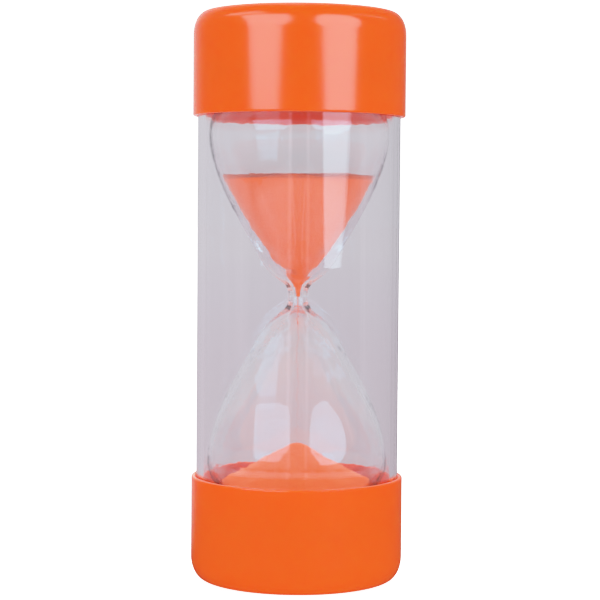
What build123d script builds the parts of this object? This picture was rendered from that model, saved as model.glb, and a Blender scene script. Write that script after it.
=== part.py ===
from build123d import *
import os
from math import cos, radians, sin, tan

# Sand timer with moulded end caps. A clear tube stands between two equal caps and
# guards a glass double bulb. The origin is the centre of the lower end face, +Z is up
# along the axis, and all sizes are in millimetres.

# Whole timer
total_height = 160.0

# Clear guard tube
tube_radius = 28.6
tube_wall = 2.0
tube_edge_round = 0.4

# Moulded end caps
cap_height = 29.2
cap_floor = 2.4
cap_wall = 2.0
lip_wall = 1.25
lip_round = 0.5
lip_lead_in = 0.3
corner_reach = 3.9
corner_rise = 6.4
tube_fit = 0.15
tube_seat = 15.2
ring_wall = 1.6
ring_rise = 2.5
hub_radius = 9.5
hub_wall = 1.5
rib_thickness = 1.2
rib_draft = 0.5
rib_root = 0.6
pad_rib_count = 8
tube_rib_count = 16

# Foam end pads
pad_seat_height = 15.0
pad_thickness = 6.0
pad_rim_rise = 2.6
pad_fit = 0.3
pad_hole_radius = 7.0

# Glue that holds the tube to the caps
glue_width = 0.8
glue_height = 2.2
glue_skin = 0.05

# Glass double bulb
belly_gap = 1.1
bulb_wall = 1.0
end_wall = 1.6
end_flat_radius = 11.0
shoulder_rise = 13.0
neck_radius = 2.6
channel_radius = 0.75

# Bulb outlines from the neck to the belly, as shares of the way out and of the way up.
# The flare points lead from the neck to the foot of the cone, and the bend is the corner
# that the rest of the outline rounds. Inside, a wide cone breaks into a narrow funnel.
outer_flare = ((0.197, 0.131),)
outer_foot = (0.507, 0.363)
outer_bend = 0.772
inner_flare = ((0.020, 0.069), (0.080, 0.134), (0.217, 0.195), (0.322, 0.261))
inner_foot = (0.505, 0.396)
inner_bend = 0.781

# Stopper of the filling hole
fill_hole_radius = 3.5
stopper_fit = 0.05
stopper_reach = 4.5
stopper_taper = 0.5
stopper_head_radius = 5.2
stopper_head_thickness = 1.4
sealant_bead = 1.2

# Sand
sand_gap = 0.15
sand_level = 34.3
crater_radius = 11.0
repose_angle = 30.0
peak_height = 38.7
peak_round = 4.5
stream_radius = 0.4

# Sizes that follow from the ones above
middle = total_height / 2
cap_radius = tube_radius + tube_fit + lip_wall
tube_bore = tube_radius - tube_wall
ring_radius = tube_bore - glue_width
ring_bore = ring_radius - ring_wall
belly_radius = tube_bore - belly_gap
bulb_length = middle - pad_seat_height - pad_thickness
belly_height = bulb_length - shoulder_rise


def spin(outline):
    """Turns a closed outline, drawn as radius and height, about the timer's axis."""
    return revolve(Plane.XZ * make_face(outline), Axis.Z)


def ring(inner_radius, outer_radius, low, high):
    """A plain ring between two radii and two heights."""
    lower = ((inner_radius, low), (outer_radius, low))
    upper = ((outer_radius, high), (inner_radius, high))
    return spin(Polyline(*lower, *upper, close=True))


def bulb(waist, belly, rise, flare, foot, bend):
    """One bulb, solid, standing on its neck at height 0. It flares from the waist to
    the belly and closes over an elliptical shoulder that is rise high."""

    def point(out, up):
        return Vector(waist + out * (belly - waist), up * belly_height)

    cone_foot = point(*foot)
    corner = point(1, bend)
    flare_points = [point(0, 0)] + [point(out, up) for out, up in flare] + [cone_foot]
    throat = Spline(flare_points, tangents=[(0, 1), corner - cone_foot])
    body = Bezier(cone_foot, corner, point(1, 1))
    shoulder_reach = belly - end_flat_radius
    shoulder = EllipticalCenterArc((end_flat_radius, belly_height), shoulder_reach, rise, 0, arc_size=90)
    top = belly_height + rise
    ends = Polyline((end_flat_radius, top), (0, top), (0, 0), (waist, 0))
    return spin(throat + body + shoulder + ends)


def bulb_outside(gap=0):
    """The outside of one bulb, drawn out from the glass by gap, except at its flat end."""
    return bulb(neck_radius + gap, belly_radius + gap, shoulder_rise, outer_flare, outer_foot, outer_bend)


def cavity(gap=0):
    """The space inside one bulb, drawn in from the glass by gap."""
    waist = channel_radius - gap
    belly = belly_radius - bulb_wall - gap
    rise = shoulder_rise - end_wall - gap
    return bulb(waist, belly, rise, inner_flare, inner_foot, inner_bend)


def upright(shape):
    """Moves a shape that stands on the neck's centre to the upper half."""
    return Pos(0, 0, middle) * shape


def turned(shape):
    """The same shape in the lower half, hanging from the neck's centre."""
    return Pos(0, 0, middle) * Rot(180, 0, 0) * shape


def to_top(shape):
    """Turns a piece of the lower end over, to the upper end."""
    return Pos(0, 0, total_height) * Rot(180, 0, 0) * shape


def end_cap():
    """The moulded cap: a thin cup with a soft corner, a stepped bore that takes the tube,
    a ring inside the tube, a hub, and ribs that carry the foam pad and the tube's end."""
    bore = tube_radius + tube_fit
    inner_side = cap_radius - cap_wall
    corner_middle = cap_radius - corner_reach
    outside = (
        Line((0, 0), (corner_middle, 0))
        + EllipticalCenterArc((corner_middle, corner_rise), corner_reach, corner_rise, 270, arc_size=90)
        + Line((cap_radius, corner_rise), (cap_radius, cap_height - lip_round))
        + CenterArc((cap_radius - lip_round, cap_height - lip_round), lip_round, 0, 90)
        + Polyline((cap_radius - lip_round, cap_height), (0, cap_height), (0, 0))
    )
    inside = EllipticalCenterArc(
        (corner_middle, corner_rise), corner_reach - cap_wall, corner_rise - cap_floor, 270, arc_size=90
    ) + Polyline(
        (inner_side, corner_rise),
        (inner_side, tube_seat),
        (bore, tube_seat),
        (bore, cap_height - lip_lead_in),
        (bore + lip_lead_in, cap_height),
        (0, cap_height),
        (0, cap_floor),
        (corner_middle, cap_floor),
    )
    cup = spin(outside)
    root = cap_floor - rib_root
    fittings = ring(ring_bore, ring_radius, root, tube_seat + ring_rise)
    fittings += ring(hub_radius - hub_wall, hub_radius, root, pad_seat_height)
    fittings += ribs(hub_radius - hub_wall / 2, ring_bore + ring_wall / 2, pad_seat_height, pad_rib_count)
    fittings += ribs(ring_radius - ring_wall / 2, inner_side + cap_wall / 2, tube_seat, tube_rib_count)
    return cup - spin(inside) + (fittings & cup)


def ribs(start_radius, end_radius, top, count):
    """Radial ribs on the cap's floor, thinner towards the top so that they leave the mould."""
    root = cap_floor - rib_root
    length = end_radius - start_radius
    foot = Pos(start_radius + length / 2, 0, root) * Rectangle(length, rib_thickness)
    rib = extrude(foot, amount=top - root, taper=rib_draft)
    return [spot * rib for spot in PolarLocations(0, count)]


def guard_tube():
    tube = ring(tube_bore, tube_radius, tube_seat, total_height - tube_seat)
    return fillet(tube.edges(), tube_edge_round)


def glue_ring():
    """Hot-melt bead in the groove between the tube and the cap's inner ring."""
    return ring(ring_radius + glue_skin, tube_bore - glue_skin, tube_seat, tube_seat + glue_height)


def foam_pad():
    """Foam disc that sits in the cap's ring, dished to the bulb's end, with a hole
    that clears the stopper."""
    rim_top = pad_seat_height + pad_thickness + pad_rim_rise
    disc = ring(pad_hole_radius, ring_bore - pad_fit, pad_seat_height, rim_top)
    return disc - turned(bulb_outside(pad_fit))


def glass_bulbs():
    """The double bulb in one piece of glass, with its filling hole in the upper end."""
    glass = upright(bulb_outside()) + turned(bulb_outside())
    glass -= upright(cavity()) + turned(cavity())
    hole = Pos(0, 0, middle + bulb_length - end_wall / 2) * Cylinder(fill_hole_radius, 2 * end_wall)
    return glass - hole


def stopper():
    """Tapered rubber stopper whose head lies on the bulb's flat end."""
    face = middle + bulb_length
    shank_radius = fill_hole_radius - stopper_fit
    outline = Polyline(
        (0, face + stopper_head_thickness),
        (stopper_head_radius, face + stopper_head_thickness),
        (stopper_head_radius, face),
        (shank_radius, face),
        (shank_radius, face - end_wall),
        (shank_radius - stopper_taper, face - stopper_reach),
        (0, face - stopper_reach),
        close=True,
    )
    return spin(outline)


def sealant():
    """Bead of sealant in the corner between the stopper's head and the glass."""
    face = middle + bulb_length
    start = stopper_head_radius + glue_skin
    height = min(sealant_bead, stopper_head_thickness)
    outline = (
        Line((start, face + height), (start, face))
        + Line((start, face), (start + sealant_bead, face))
        + EllipticalCenterArc((start, face), sealant_bead, height, 0, arc_size=90)
    )
    return spin(outline)


def upper_sand():
    """Sand above the neck. Its level top sinks to a crater where it drains away."""
    crater_depth = crater_radius * tan(radians(repose_angle))
    reach = belly_radius
    surface = ((reach, sand_level), (crater_radius, sand_level), (0, sand_level - crater_depth))
    outline = Polyline((0, 0), (reach, 0), *surface, close=True)
    return upright(cavity(sand_gap) & spin(outline))


def lower_sand():
    """Sand below the neck: it fills the bulb's end and rises to a round-topped heap."""
    slope = radians(repose_angle)
    round_radius = peak_round * sin(slope)
    round_drop = peak_round * (1 - cos(slope))
    reach = belly_radius
    edge_level = peak_height - round_drop
    side_level = edge_level - (reach - round_radius) * tan(slope)
    crown = CenterArc((0, peak_height - peak_round), peak_round, 90 - repose_angle, repose_angle)
    flank = Polyline((round_radius, edge_level), (reach, side_level), (reach, 0), (0, 0), (0, peak_height))
    return turned(cavity(sand_gap)) & spin(crown + flank)


def falling_sand():
    """The thin stream from the neck to the top of the heap."""
    foot = peak_height + sand_gap
    base = Pos(0, 0, foot) * Circle(stream_radius)
    return extrude(base, amount=middle - foot)


pieces = {
    "bottom_cap": end_cap(),
    "top_cap": to_top(end_cap()),
    "clear_tube": guard_tube(),
    "lower_tube_glue": glue_ring(),
    "upper_tube_glue": to_top(glue_ring()),
    "lower_foam_pad": foam_pad(),
    "upper_foam_pad": to_top(foam_pad()),
    "glass_bulbs": glass_bulbs(),
    "filling_stopper": stopper(),
    "stopper_sealant": sealant(),
    "upper_sand": upper_sand(),
    "lower_sand": lower_sand(),
    "falling_sand": falling_sand(),
}

os.makedirs("parts", exist_ok=True)
for node, piece in pieces.items():
    export_step(piece, f"parts/{node}.step")
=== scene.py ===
import math
import random

import bmesh
import bpy
from mathutils import Matrix, Vector, noise


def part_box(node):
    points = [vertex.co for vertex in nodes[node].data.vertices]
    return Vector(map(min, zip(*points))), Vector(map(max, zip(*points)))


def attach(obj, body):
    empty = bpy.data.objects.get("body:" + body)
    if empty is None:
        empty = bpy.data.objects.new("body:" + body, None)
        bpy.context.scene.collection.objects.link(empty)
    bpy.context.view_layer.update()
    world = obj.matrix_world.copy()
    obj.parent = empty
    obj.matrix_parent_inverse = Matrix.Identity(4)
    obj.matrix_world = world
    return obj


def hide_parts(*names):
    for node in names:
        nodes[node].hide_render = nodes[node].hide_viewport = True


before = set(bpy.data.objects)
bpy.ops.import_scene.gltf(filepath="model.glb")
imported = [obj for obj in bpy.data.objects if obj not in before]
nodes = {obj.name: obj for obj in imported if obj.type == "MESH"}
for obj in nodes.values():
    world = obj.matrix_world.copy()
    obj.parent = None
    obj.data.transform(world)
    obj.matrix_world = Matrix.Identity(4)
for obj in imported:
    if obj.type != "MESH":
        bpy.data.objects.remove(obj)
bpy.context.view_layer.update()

# Sand timer with moulded orange caps: looks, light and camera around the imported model.
# Everything is in metres, with the origin at the centre of the lower end face. Azimuths
# are in degrees from the camera's side (-Y) towards the right, elevations in degrees.

scene = bpy.context.scene
MM = 0.001
MIDDLE = 0.080

# Camera, fitted to the outline of the caps and the tube in the photograph
CAMERA_PLACE = (0.0, -0.52015, 0.10394)
CAMERA_PITCH = 2.742
CAMERA_ROLL = 0.4475
CAMERA_LENS = 110.1
CAMERA_SENSOR = 36.0
CAMERA_SHIFT = 0.0034
CAMERA_NEAR = 0.01

# Studio colours: what the clear pieces let through and mirror is a pale lilac grey, and
# the backdrop and floor behind them are overexposed to white
STUDIO_LILAC = (0.930, 0.895, 0.978)
WHITE = 2.2
FLOOR_WHITE = (0.9, 0.9, 0.9)
FLOOR_GLOW = 1.4

# How bright the studio is by azimuth, none above TOP_LEVEL. As light on dull surfaces
TOP_LEVEL = 6.0
STUDIO_LIGHT = [
    (-180, 6.0), (-140, 2.0), (-120, 1.6), (-60, 0.60), (0, 0.25),
    (60, 0.60), (120, 1.6), (140, 2.0), (180, 6.0),
]

# As seen in and through clear pieces: a dark slot where the camera stands, between two
# edges that catch the light, and a brighter panel on each side
STUDIO_CLEAR = [
    (-180, 0.69), (-150, 0.70), (-100, 0.80), (-68, 0.80), (-67, 0.95), (-58, 0.95), (-57, 0.72),
    (-12, 0.72), (-11, 1.50), (-9, 1.50), (-8, 0.42), (8.5, 0.42), (9.5, 1.20), (11, 1.20),
    (12, 0.52), (50, 0.58), (77, 0.60), (78, 1.30), (80, 1.30), (81, 0.80), (105, 0.72),
    (120, 0.66), (140, 0.58), (165, 0.64), (180, 0.69),
]

# As a sheen on dull surfaces, which catches the bright backdrop at their edges
STUDIO_SHEEN = [
    (-180, 1.2), (-160, 0.8), (-141, 0.40), (-125, 0.10), (-110, 0.06),
    (120, 0.06), (150, 0.10), (160, 0.30), (180, 0.6),
]

# Only a ray that something has mirrored, so one with more glossy bounces than MIRRORED,
# meets the studio's front, up to this azimuth. What is seen straight through the clear
# pieces stays plain from every side
MIRRORED = 0.5
STUDIO_BEHIND = 90

# A mirrored ray has crossed more surfaces than this when it comes from the outside or the
# inside of the bulb's glass
BULB_OUTSIDE = 2.5
BULB_INSIDE = 4.5

# A ray that has been inside the bulb's glass meets an even studio, so that the glass shows
# little of its outline
STUDIO_IN_GLASS = 0.715

# The floor: its reach, and the light that it throws back on dull surfaces
FLOOR_REACH = 12.0
FLOOR_LIGHT = 1.35
FLOOR_LIGHT_COLOUR = (1.0, 0.84, 0.78)

# Colour that the floor lends to what clear pieces show of it, by distance as a share of
# FLOOR_COLOUR_REACH. Darker and pinker near the timer: painted shade and painted orange light thrown back
# from the caps
FLOOR_COLOUR_REACH = 4.0
FLOOR_COLOUR = [
    (0.0, (0.93, 0.83, 0.86)), (0.10, (0.945, 0.88, 0.90)), (0.20, (0.95, 0.895, 0.92)),
    (0.43, (0.97, 0.94, 0.96)), (1.0, (1.0, 0.99, 0.99)),
]

# How bright the floor in front is where it is mirrored, against the studio above it, by
# distance in metres and none above FLOOR_FRONT_TOP. It sets in over FLOOR_FRONT_FADE
FLOOR_FRONT_REACH = 0.5
FLOOR_FRONT_TOP = 2.4
FLOOR_FRONT_FADE = 0.03
FLOOR_FRONT = [(0.0, 2.2), (0.135, 2.2), (0.16, 0.15), (0.26, 0.15), (0.34, 0.65), (0.5, 1.0)]

# Where the softboxes stand, and their colour as light on plastic, in the tube and in the
# bulb. The inside of the bulb's glass keeps INSIDE_SHARE of their brightness
SOFTBOX_DISTANCE = 2.0
SOFTBOX_CENTRE = Vector((0, 0, 0.1))
SOFTBOX_COLOUR = (0.94, 0.955, 1.06)
SOFTBOX_IN_TUBE = (0.72, 0.90, 1.08)
SOFTBOX_IN_BULB = (0.56, 0.88, 1.18)
INSIDE_SHARE = 0.36

# Softboxes: brightness as light on plastic, as mirrored in the tube and as mirrored in the
# bulb, and corners as azimuth and elevation seen from SOFTBOX_CENTRE
SOFTBOXES = {
    "softbox_right": (3.8, 3.8, 4.9, [
        (30, -2), (49, -2), (56, 1), (60.5, 4.5), (63.5, 8), (67, 13), (69.8, 20), (69, 27), (64, 33),
        (56, 37.5), (47, 40.3), (28, 40.3), (21, 36.5), (17.5, 28), (16.2, 20), (18, 12.5),
        (23.5, 7.5), (26.5, 4), (27.5, 2),
    ]),
    "softbox_left": (3.6, 1.5, 4.3, [
        (-24.5, 2), (-21, 5), (-18.5, 8), (-14, 13), (-10, 18), (-9.3, 22), (-10, 29), (-12, 37),
        (-17.1, 41.6), (-42, 39.8), (-59, 36.7), (-72.5, 32.9), (-65.6, 27), (-60, 20), (-57.5, 12),
        (-56, 7), (-47, 2),
    ]),
    "softbox_top_left": (2.4, 1.7, 2.6, [
        (-42, 43), (-57, 39.5), (-78, 35), (-98, 32), (-98, 35.5), (-80, 43), (-63, 51), (-52, 48.5),
    ]),
    "softbox_top_right": (1.6, 1.3, 2.0, [
        (68, 43.5), (79, 40.5), (97, 34.7), (114, 27.5), (114, 25.5), (97, 32), (79, 38), (68, 41.5),
    ]),
}

# Tone of the picture: scene light, as a share of TONE_WHITE, against shown light
TONE_WHITE = 2.0
TONE = [
    (0.0, 0.0), (0.15, 0.30), (0.29, 0.565), (0.40, 0.725), (0.50, 0.83), (0.65, 0.925), (0.80, 0.975),
    (1.0, 1.0),
]

# Most bounces that a ray takes, in all and by kind: it crosses many walls of clear pieces
BOUNCES = 64
GLOSSY_BOUNCES = 24

# Plastic: two shades, its finish when polished, and how much duller it is where desks have
# scuffed the end faces, from and up to these distances from the middle
PLASTIC_SHADES = ((0.805, 0.097, 0.0055), (0.835, 0.103, 0.0065))
POLISHED = (0.13, 0.19)
SCUFFS = (0.26, 0.44)
SCUFFED_FROM = 0.0792
SCUFFED_FULLY = 0.0798

# Clear pieces: how dark their faint streaks are, and how much light a wall lets through
STREAK_SHADE = 0.985
WALL_PASSES = 0.96

# Sand: three shades of grain, and a painted shade along the upper sand's top edge, which
# reaches down from SAND_TOP by SAND_SHADE and is broken up into patches by noise
SAND_SHADES = ((0.88, 0.104, 0.010), (0.92, 0.127, 0.014), (0.96, 0.175, 0.028))
# Colour of the painted shade along the top edge, and how noise breaks it into patches
SAND_SHADE_COLOUR = (0.50, 0.060, 0.012)
SAND_SHADE_BREAKUP = (0.3, 1.1)
SAND_TOP = MIDDLE + 0.0343
SAND_SHADE = 0.0013

# Voxels that the sand is rebuilt from, then grains and clumps as size and height, and how
# far the surface is drawn in so that they stay inside the glass
SAND_GRID = 0.00035
GRAINS = (0.00045, 0.00006)
CLUMPS = (0.0018, 0.00005)
SAND_DRAWN_IN = 0.00004

# Height of the upper sand at the glass, in millimetres off level, by azimuth. It acts from
# SAND_EDGE_FROM above the middle, fully after SAND_EDGE_DEPTH more, and as given at
# SAND_REACH from the axis
SAND_EDGE = [
    (-180, 0.1), (-120, -0.3), (-61, 0.0), (-37, -0.7), (0, 0.25), (17, -0.5),
    (37, 0.0), (67, 0.0), (110, -0.4), (150, 0.3), (180, 0.1),
]
SAND_EDGE_FROM = 0.026
SAND_EDGE_DEPTH = 0.008
SAND_REACH = 0.0218

# Ripples on the heap as size and height. They act from HEAP_FROM up, fully after
# HEAP_DEPTH more, and fade within HEAP_PEAK of the axis
RIPPLES = (0.006, 0.0005)
HEAP_FROM = 0.0225
HEAP_DEPTH = 0.004
HEAP_PEAK = 0.006

# Falling grains: their sizes, how they are stretched sideways and along the fall, how far
# they spread and how far apart they follow, both at the neck and how much more at the heap
STREAM_SEED = 7
GRAIN_SIZES = (0.00010, 0.00016)
STRETCH_SIDEWAYS = (0.8, 1.1)
STRETCH_ALONG = (0.9, 1.3)
STREAM_SPREAD = (0.00012, 0.00022)
STREAM_GAP = (0.00012, 0.0011)

# Lampworked glass: lumps at the neck within NECK_HEAT of the middle, streaks drawn round
# STREAKS_AT from it, and waves over the whole body, as size and height
LUMPS = (0.0024, 0.00011)
NECK_HEAT = 0.0085
STREAK_WIDTH = 0.0022
STREAK_LENGTH = 0.008
STREAK_HEIGHT = 0.00008
STREAKS_AT = 0.012
STREAKS_REACH = 0.008
WAVES = (0.013, 0.00005)

# Distance over which the slope of the lampwork is measured, along each axis
SLOPE_STEP = 0.0001
AXES = (Vector((1, 0, 0)), Vector((0, 1, 0)), Vector((0, 0, 1)))


def new_object(name, data):
    made = bpy.data.objects.new(name, data)
    scene.collection.objects.link(made)
    return made


def set_camera():
    data = bpy.data.cameras.new("camera")
    data.lens = CAMERA_LENS
    data.sensor_width = CAMERA_SENSOR
    data.shift_x = CAMERA_SHIFT
    data.clip_start = CAMERA_NEAR
    camera = new_object("camera", data)
    camera.location = CAMERA_PLACE
    pitch = Matrix.Rotation(math.radians(90 - CAMERA_PITCH), 3, "X")
    roll = Matrix.Rotation(math.radians(CAMERA_ROLL), 3, "Z")
    camera.rotation_euler = (pitch @ roll).to_euler()
    scene.camera = camera


class Nodes:
    """Short hand for building a node tree."""

    def __init__(self, tree):
        self.tree = tree
        tree.nodes.clear()

    def add(self, kind, inputs=None, **settings):
        """A node. Each input is a value, or a socket that it is linked to."""
        made = self.tree.nodes.new(kind)
        for name, value in settings.items():
            setattr(made, name, value)
        for name, value in (inputs or {}).items():
            socket = made.inputs[name]
            if isinstance(value, bpy.types.NodeSocket):
                self.tree.links.new(value, socket)
            else:
                socket.default_value = value
        return made

    def calc(self, operation, *values):
        """One step of arithmetic."""
        return self.add("ShaderNodeMath", dict(enumerate(values)), operation=operation).outputs[0]

    def mix(self, share, first, second):
        """A number between two others."""
        return self.add("ShaderNodeMix", {"Factor": share, "A": first, "B": second}).outputs[0]

    def mix_shader(self, share, first, second):
        return self.add("ShaderNodeMixShader", {"Fac": share, 1: first, 2: second}).outputs[0]

    def rise(self, value, start, end):
        """0 to 1 as a value goes from start to end."""
        inputs = {"Value": value, "From Min": start, "From Max": end}
        return self.add("ShaderNodeMapRange", inputs).outputs["Result"]

    def spread(self, share, low, high):
        """A value of 0 to 1 spread over another range."""
        inputs = {"Value": share, "To Min": low, "To Max": high}
        return self.add("ShaderNodeMapRange", inputs).outputs["Result"]

    def ramp(self, share, stops):
        """A colour by a value of 0 to 1."""
        made = self.add("ShaderNodeValToRGB", {"Fac": share})
        elements = made.color_ramp.elements
        while len(elements) > 1:
            elements.remove(elements[-1])
        for index, (place, colour) in enumerate(stops):
            element = elements[0] if index == 0 else elements.new(place)
            element.position = place
            element.color = (*colour, 1)
        return made.outputs["Color"]

    def level(self, share, stops, top):
        """A number by a value of 0 to 1. A ramp holds no more than 1, so this one holds
        shares of the top level."""
        ramp = self.ramp(share, [(place, (level / top,) * 3) for place, level in stops])
        return self.calc("MULTIPLY", ramp, top)

    def place(self):
        """The point that is shaded, in metres from the timer's origin."""
        return self.add("ShaderNodeTexCoord").outputs["Object"]

    def height(self, place):
        return self.add("ShaderNodeSeparateXYZ", {"Vector": place}).outputs["Z"]

    def noise(self, place, scale, detail=2.0):
        inputs = {"Vector": place, "Scale": scale, "Detail": detail}
        return self.add("ShaderNodeTexNoise", inputs).outputs["Fac"]

    def bump(self, height, strength, distance, **others):
        inputs = {"Height": height, "Strength": strength, "Distance": distance, **others}
        return self.add("ShaderNodeBump", inputs).outputs[0]

    def glow(self, kind, colour, strength):
        return self.add(kind, {"Color": (*colour, 1), "Strength": strength}).outputs[0]

    def principled(self, inputs):
        return self.add("ShaderNodeBsdfPrincipled", inputs).outputs[0]


def floor_shows(n, place, forward, mirrored):
    """The colour and the share of the studio's brightness that clear pieces show of the
    floor. Only mirrored rays meet the levels of its front."""
    reach = n.add("ShaderNodeVectorMath", {0: place}, operation="LENGTH").outputs["Value"]
    # Painted shade and painted orange bounce light on the floor near the timer, fading with distance
    stops = [(at, [c * l for c, l in zip(tint, STUDIO_LILAC)]) for at, tint in FLOOR_COLOUR]
    colour = n.ramp(n.rise(reach, 0.0, FLOOR_COLOUR_REACH), stops)
    stops = [(at / FLOOR_FRONT_REACH, level) for at, level in FLOOR_FRONT]
    level = n.level(n.rise(reach, 0.0, FLOOR_FRONT_REACH), stops, FLOOR_FRONT_TOP)
    front = n.calc("MULTIPLY", n.rise(forward, 0.0, FLOOR_FRONT_FADE), mirrored)
    return colour, n.mix(front, 1.0, level)


def studio(n, on_floor, seen):
    """The studio's light from a direction or a place, by the kind of ray that meets it:
    on dull surfaces, in a sheen, in and through clear pieces, and in the picture itself."""
    kind = "ShaderNodeEmission" if on_floor else "ShaderNodeBackground"
    path = n.add("ShaderNodeLightPath").outputs
    place = n.place() if on_floor else n.add("ShaderNodeTexCoord").outputs["Generated"]
    parts = n.add("ShaderNodeSeparateXYZ", {"Vector": place}).outputs
    forward = n.calc("MULTIPLY", parts["Y"], -1.0)
    turn = n.rise(n.calc("ARCTAN2", parts["X"], forward), -math.pi, math.pi)

    def around(levels):
        return n.level(turn, [((azimuth + 180) / 360, level) for azimuth, level in levels], TOP_LEVEL)

    mirrored = n.calc("GREATER_THAN", path["Glossy Depth"], MIRRORED)
    in_glass = n.calc("GREATER_THAN", path["Transmission Depth"], BULB_INSIDE)
    behind = [(azimuth, level) for azimuth, level in STUDIO_CLEAR if abs(azimuth) > STUDIO_BEHIND]
    strength = n.mix(mirrored, around(behind), around(STUDIO_CLEAR))
    strength = n.mix(in_glass, strength, STUDIO_IN_GLASS)
    if on_floor:
        colour, share = floor_shows(n, place, forward, mirrored)
        strength = n.calc("MULTIPLY", strength, share)
        light = n.glow(kind, FLOOR_LIGHT_COLOUR, FLOOR_LIGHT)
    else:
        colour = (*STUDIO_LILAC, 1)
        light = n.glow(kind, (1, 1, 1), around(STUDIO_LIGHT))
    sheen = n.glow(kind, STUDIO_LILAC, around(STUDIO_SHEEN))
    clear = n.add(kind, {"Color": colour, "Strength": strength}).outputs[0]
    shader = light
    for ray, other in (("Is Glossy Ray", sheen), ("Is Singular Ray", clear), ("Is Camera Ray", seen)):
        shader = n.mix_shader(path[ray], shader, other)
    return shader


def set_world():
    scene.world = bpy.data.worlds.new("studio")
    scene.world.use_nodes = True
    n = Nodes(scene.world.node_tree)
    white = n.glow("ShaderNodeBackground", (1, 1, 1), WHITE)
    n.add("ShaderNodeOutputWorld", {"Surface": studio(n, False, white)})


def new_material(name):
    material = bpy.data.materials.new(name)
    material.use_nodes = True
    return material, Nodes(material.node_tree)


def finish_material(material, n, shader):
    n.add("ShaderNodeOutputMaterial", {"Surface": shader})
    return material


def floor_material():
    material, n = new_material("floor_white")
    white = n.principled(
        {
            "Base Color": (*FLOOR_WHITE, 1),
            "Roughness": 0.6,
            "Emission Color": (1, 1, 1, 1),
            "Emission Strength": FLOOR_GLOW,
        }
    )
    return finish_material(material, n, studio(n, True, white))


def set_floor():
    mesh = bpy.data.meshes.new("floor")
    signs = ((-1, -1), (1, -1), (1, 1), (-1, 1))
    mesh.from_pydata([(x * FLOOR_REACH, y * FLOOR_REACH, 0) for x, y in signs], [], [(0, 1, 2, 3)])
    floor = new_object("floor", mesh)
    mesh.materials.append(floor_material())


def softbox_material(name, on_plastic, in_tube, in_bulb):
    """The glow of a panel, which stands in each clear piece at a brightness of its own."""
    material, n = new_material(name)
    path = n.add("ShaderNodeLightPath").outputs
    kind = "ShaderNodeEmission"
    shader = n.glow(kind, SOFTBOX_IN_TUBE, in_tube)
    for crossed, strength in ((BULB_OUTSIDE, in_bulb), (BULB_INSIDE, in_bulb * INSIDE_SHARE)):
        deep = n.calc("GREATER_THAN", path["Transmission Depth"], crossed)
        shader = n.mix_shader(deep, shader, n.glow(kind, SOFTBOX_IN_BULB, strength))
    plastic = n.glow(kind, SOFTBOX_COLOUR, on_plastic)
    return finish_material(material, n, n.mix_shader(path["Is Singular Ray"], plastic, shader))


def towards(azimuth, elevation):
    """The direction of length 1 at an azimuth and an elevation."""
    turn, lift = math.radians(azimuth), math.radians(elevation)
    return Vector((math.sin(turn) * math.cos(lift), -math.cos(turn) * math.cos(lift), math.sin(lift)))


def set_softboxes():
    """Flat glowing panels that face SOFTBOX_CENTRE and that the camera doesn't see."""
    for name, (on_plastic, in_tube, in_bulb, corners) in SOFTBOXES.items():
        rays = [towards(azimuth, elevation) for azimuth, elevation in corners]
        facing = sum(rays, Vector((0, 0, 0))).normalized()
        points = [SOFTBOX_CENTRE + ray * (SOFTBOX_DISTANCE / ray.dot(facing)) for ray in rays]
        mesh = bpy.data.meshes.new(name)
        mesh.from_pydata(points, [], [range(len(points))])
        mesh.materials.append(softbox_material(name, on_plastic, in_tube, in_bulb))
        panel = new_object(name, mesh)
        panel.visible_camera = False


def set_tone():
    """A soft shoulder, as a camera gives, so that bright orange and reflections don't clip."""
    view = scene.view_settings
    view.view_transform = "Standard"
    view.use_curve_mapping = True
    mapping = view.curve_mapping
    mapping.white_level = (TONE_WHITE,) * 3
    points = mapping.curves[3].points
    for place, value in TONE[1:-1]:
        points.new(place, value)
    for point, (place, value) in zip(points, TONE):
        point.location = (place, value)
    mapping.update()


def set_bounces():
    scene.cycles.max_bounces = BOUNCES
    scene.cycles.transmission_bounces = BOUNCES
    scene.cycles.transparent_max_bounces = BOUNCES
    scene.cycles.glossy_bounces = GLOSSY_BOUNCES


def orange_plastic():
    """Glossy moulded plastic, scuffed to a duller finish on the two end faces."""
    material, n = new_material("orange_plastic")
    place = n.place()
    cloud = n.noise(place, scale=45.0, detail=3.0)
    skin = n.noise(place, scale=260.0)
    scuffs = n.noise(place, scale=420.0, detail=6.0)
    grain = n.noise(place, scale=1400.0)
    from_middle = n.calc("ABSOLUTE", n.calc("SUBTRACT", n.height(place), MIDDLE))
    end_face = n.rise(from_middle, SCUFFED_FROM, SCUFFED_FULLY)
    worn, polished = n.spread(scuffs, *SCUFFS), n.spread(grain, *POLISHED)
    waves = n.bump(skin, strength=0.3, distance=0.00002)
    shader = n.principled(
        {
            "Base Color": n.ramp(cloud, zip((0.3, 0.7), PLASTIC_SHADES)),
            "Roughness": n.calc("MULTIPLY_ADD", end_face, worn, polished),
            "IOR": 1.65,
            "Subsurface Weight": 0.6,
            "Subsurface Radius": (1.0, 0.30, 0.12),
            "Subsurface Scale": 0.004,
            "Normal": n.bump(grain, strength=0.15, distance=0.00001, Normal=waves),
        }
    )
    return finish_material(material, n, shader)


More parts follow.
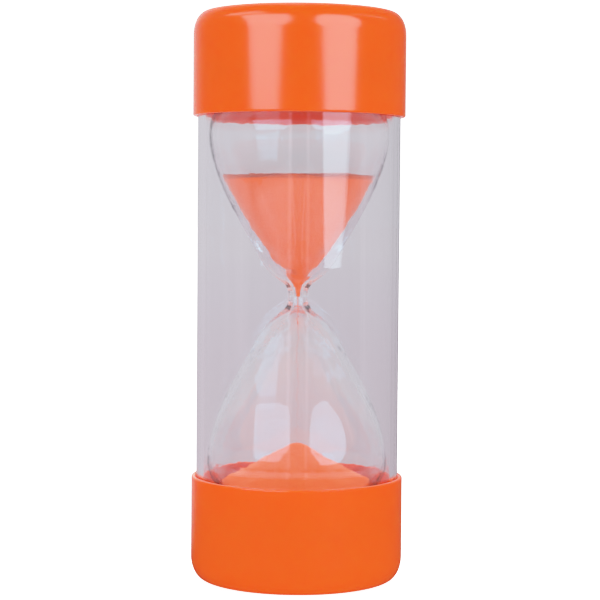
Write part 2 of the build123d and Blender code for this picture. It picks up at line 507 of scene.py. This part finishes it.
def clear_material(name, tint, ior, streaks, depth):
    """Glass or clear plastic that lets lamp light straight through to what it holds. Its
    faint streaks are given as how many there are in a metre along each axis."""
    material, n = new_material(name)
    place = n.place()
    stretched = n.add("ShaderNodeMapping", {"Vector": place, "Scale": streaks}).outputs[0]
    wave = n.noise(stretched, scale=1.0)
    solid = n.principled(
        {
            "Base Color": n.ramp(wave, [(0.3, [STREAK_SHADE * c for c in tint]), (0.7, tint)]),
            "Roughness": 0.0,
            "IOR": ior,
            "Transmission Weight": 1.0,
            "Normal": n.bump(wave, strength=1.0, distance=depth),
        }
    )
    path = n.add("ShaderNodeLightPath").outputs
    soft = n.calc("MAXIMUM", path["Is Shadow Ray"], path["Is Diffuse Ray"])
    passes = (*(WALL_PASSES * math.sqrt(c) for c in tint), 1)
    through = n.add("ShaderNodeBsdfTransparent", {"Color": passes}).outputs[0]
    return finish_material(material, n, n.mix_shader(soft, solid, through))


def sand_material():
    """Dyed sand of many grains, with a painted shade along the upper sand's top edge."""
    material, n = new_material("orange_sand")
    place = n.place()
    grain = n.add("ShaderNodeTexVoronoi", {"Vector": place, "Scale": 3300.0}).outputs["Distance"]
    fleck = n.noise(place, scale=2400.0)
    # Noise that breaks the painted shade of the top edge into patches
    worn = n.noise(place, scale=500.0)
    colour = n.ramp(fleck, zip((0.3, 0.5, 0.75), SAND_SHADES))
    # Painted shade: a dark band just under the upper sand's top, mixed into its colour
    edge = n.rise(n.height(place), SAND_TOP - SAND_SHADE, SAND_TOP - SAND_SHADE / 2)
    share = n.calc("MULTIPLY", edge, n.spread(worn, *SAND_SHADE_BREAKUP))
    inputs = {"Factor": share, "A": colour, "B": (*SAND_SHADE_COLOUR, 1)}
    colour = n.add("ShaderNodeMix", inputs, data_type="RGBA").outputs["Result"]
    bump = n.bump(grain, strength=0.35, distance=0.0002)
    shader = n.principled({"Base Color": colour, "Roughness": 0.75, "IOR": 1.5, "Normal": bump})
    return finish_material(material, n, shader)


def plain_material(name, low, high, roughness, scale):
    """A dull surface that varies between two shades."""
    material, n = new_material(name)
    cloud = n.noise(n.place(), scale, detail=3.0)
    shader = n.principled(
        {
            "Base Color": n.ramp(cloud, [(0.3, low), (0.7, high)]),
            "Roughness": n.spread(cloud, roughness - 0.05, roughness + 0.05),
            "Normal": n.bump(cloud, strength=0.3, distance=0.0002),
        }
    )
    return finish_material(material, n, shader)


def dress(material, *names):
    for name in names:
        mesh = nodes[name].data
        mesh.materials.clear()
        mesh.materials.append(material)


def copy_of(node, name):
    """A piece of its own with a CAD node's shape, which it stands for."""
    mesh = nodes[node].data.copy()
    mesh.name = name
    mesh.materials.clear()
    piece = new_object(name, mesh)
    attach(piece, "root")
    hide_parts(node)
    return piece


def remeshed(node, name, voxel):
    """The same, rebuilt as an even grid that fine relief can be worked into."""
    piece = copy_of(node, name)
    modifier = piece.modifiers.new("grid", "REMESH")
    modifier.mode = "VOXEL"
    modifier.voxel_size = voxel
    modifier.use_smooth_shade = True
    depsgraph = bpy.context.evaluated_depsgraph_get()
    grid = bpy.data.meshes.new_from_object(piece.evaluated_get(depsgraph))
    piece.modifiers.clear()
    piece.data = grid
    return piece


def relief(place, size, height):
    """Smooth bumps of one size, at a point."""
    return noise.noise(place / size) * height


def onset(value, start, length):
    """0 to 1 as a value goes on from start by length."""
    return min(max((value - start) / length, 0.0), 1.0)


def sand_edge(azimuth):
    """How far the level of the upper sand lies off at the glass, in millimetres."""
    for (start, low), (end, high) in zip(SAND_EDGE, SAND_EDGE[1:]):
        if start <= azimuth <= end:
            share = (azimuth - start) / (end - start)
            return low + (high - low) * share * share * (3 - 2 * share)


def grainy(piece, material, lift):
    """Works grains into a body of sand. lift gives how far a point is raised first."""
    mesh = piece.data
    normals = [normal.vector.copy() for normal in mesh.vertex_normals]
    moved = []
    for vertex, normal in zip(mesh.vertices, normals):
        place = vertex.co.copy()
        rough = relief(place, *GRAINS) + relief(place, *CLUMPS)
        moved.extend(place + normal * (rough - SAND_DRAWN_IN) + Vector((0, 0, lift(place))))
    mesh.vertices.foreach_set("co", moved)
    mesh.update()
    mesh.materials.append(material)


def upper_lift(place):
    """The uneven edge of the upper sand's top, which fades inwards and downwards."""
    share = onset(place.z - MIDDLE, SAND_EDGE_FROM, SAND_EDGE_DEPTH)
    azimuth = math.degrees(math.atan2(place.x, -place.y))
    reach = math.hypot(place.x, place.y) / SAND_REACH
    return sand_edge(azimuth) * MM * share * share * reach * reach


def lower_lift(place):
    """The ripples of the heap."""
    reach = math.hypot(place.x, place.y)
    ripple = relief(Vector((place.x, place.y, 0)), *RIPPLES)
    return ripple * onset(place.z, HEAP_FROM, HEAP_DEPTH) * onset(reach, 0.0, HEAP_PEAK)


def make_sand(material):
    upper = remeshed("upper_sand", "sand_above", SAND_GRID)
    grainy(upper, material, upper_lift)
    lower = remeshed("lower_sand", "sand_heap", SAND_GRID)
    grainy(lower, material, lower_lift)


def make_stream(material):
    """Single grains that fall from the neck to the heap, spreading as they speed up."""
    rng = random.Random(STREAM_SEED)
    low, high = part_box("falling_sand")
    mesh = bpy.data.meshes.new("sand_stream")
    bm = bmesh.new()
    height = high.z
    while height > low.z:
        fallen = (high.z - height) / (high.z - low.z)
        size = rng.uniform(*GRAIN_SIZES)
        spread = STREAM_SPREAD[0] + STREAM_SPREAD[1] * fallen
        angle = rng.uniform(0, 2 * math.pi)
        out = spread * math.sqrt(rng.random())
        place = Vector((out * math.cos(angle), out * math.sin(angle), height - size))
        grain = bmesh.ops.create_icosphere(bm, subdivisions=1, radius=size)
        limits = (STRETCH_SIDEWAYS, STRETCH_SIDEWAYS, STRETCH_ALONG)
        stretch = Vector([rng.uniform(low_limit, high_limit) for low_limit, high_limit in limits])
        for vertex in grain["verts"]:
            vertex.co = vertex.co * stretch + place
        height -= STREAM_GAP[0] + STREAM_GAP[1] * math.sqrt(fallen)
    bm.to_mesh(mesh)
    bm.free()
    mesh.materials.append(material)
    stream = new_object("sand_stream", mesh)
    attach(stream, "root")
    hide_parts("falling_sand")


def lampwork(place):
    """How far hand-worked glass stands off its true outline at a point: lumps and
    drawn streaks where the neck was heated, hardly any over the body."""
    height = abs(place.z - MIDDLE)
    heat = math.exp(-((height / NECK_HEAT) ** 2))
    drawn = math.exp(-(((height - STREAKS_AT) / STREAKS_REACH) ** 2))
    along = Vector((place.x / STREAK_WIDTH, place.y / STREAK_WIDTH, place.z / STREAK_LENGTH))
    lumps = relief(place, *LUMPS) * heat
    streaks = noise.noise(along) * STREAK_HEIGHT * drawn
    return lumps + streaks + relief(place, *WAVES)


def make_bulbs(material):
    """The glass with its lampwork. Its normals start from the CAD mesh's own, which are
    smooth, and are tilted by the slope of the lampwork."""
    piece = copy_of("glass_bulbs", "glass_double_bulb")
    mesh = piece.data
    corners = [normal.vector.copy() for normal in mesh.corner_normals]
    normals = {loop.vertex_index: corners[loop.index] for loop in mesh.loops}
    moved = []
    bent = []
    for vertex in mesh.vertices:
        place = vertex.co.copy()
        out = normals.get(vertex.index, Vector((0, 0, 1)))
        here = lampwork(place)
        rise = Vector([(lampwork(place + axis * SLOPE_STEP) - here) / SLOPE_STEP for axis in AXES])
        rise -= out * rise.dot(out)
        moved.extend(place + out * here)
        bent.append((out - rise).normalized())
    mesh.vertices.foreach_set("co", moved)
    mesh.update()
    mesh.normals_split_custom_set_from_vertices(bent)
    mesh.materials.append(material)


set_camera()
set_world()
set_floor()
set_softboxes()
set_tone()
set_bounces()

acrylic = clear_material(
    "clear_acrylic", tint=(0.985, 0.982, 0.985), ior=1.49, streaks=(300.0, 300.0, 6.0), depth=0.00001
)
glass = clear_material(
    "bulb_glass", tint=(0.996, 0.997, 0.996), ior=1.51, streaks=(60.0, 60.0, 40.0), depth=0.00002
)
glue = plain_material("hot_melt_glue", (0.80, 0.78, 0.70), (0.86, 0.84, 0.78), roughness=0.35, scale=400.0)
foam = plain_material("orange_foam", (0.55, 0.07, 0.004), (0.66, 0.10, 0.008), roughness=0.9, scale=900.0)
rubber = plain_material("grey_rubber", (0.20, 0.20, 0.20), (0.25, 0.25, 0.25), roughness=0.6, scale=500.0)
sealant = plain_material("clear_sealant", (0.75, 0.75, 0.72), (0.82, 0.82, 0.80), roughness=0.3, scale=500.0)
sand = sand_material()

dress(orange_plastic(), "bottom_cap", "top_cap")
dress(acrylic, "clear_tube")
dress(glue, "lower_tube_glue", "upper_tube_glue")
dress(foam, "lower_foam_pad", "upper_foam_pad")
dress(rubber, "filling_stopper")
dress(sealant, "stopper_sealant")
make_bulbs(glass)
make_sand(sand)
make_stream(sand)
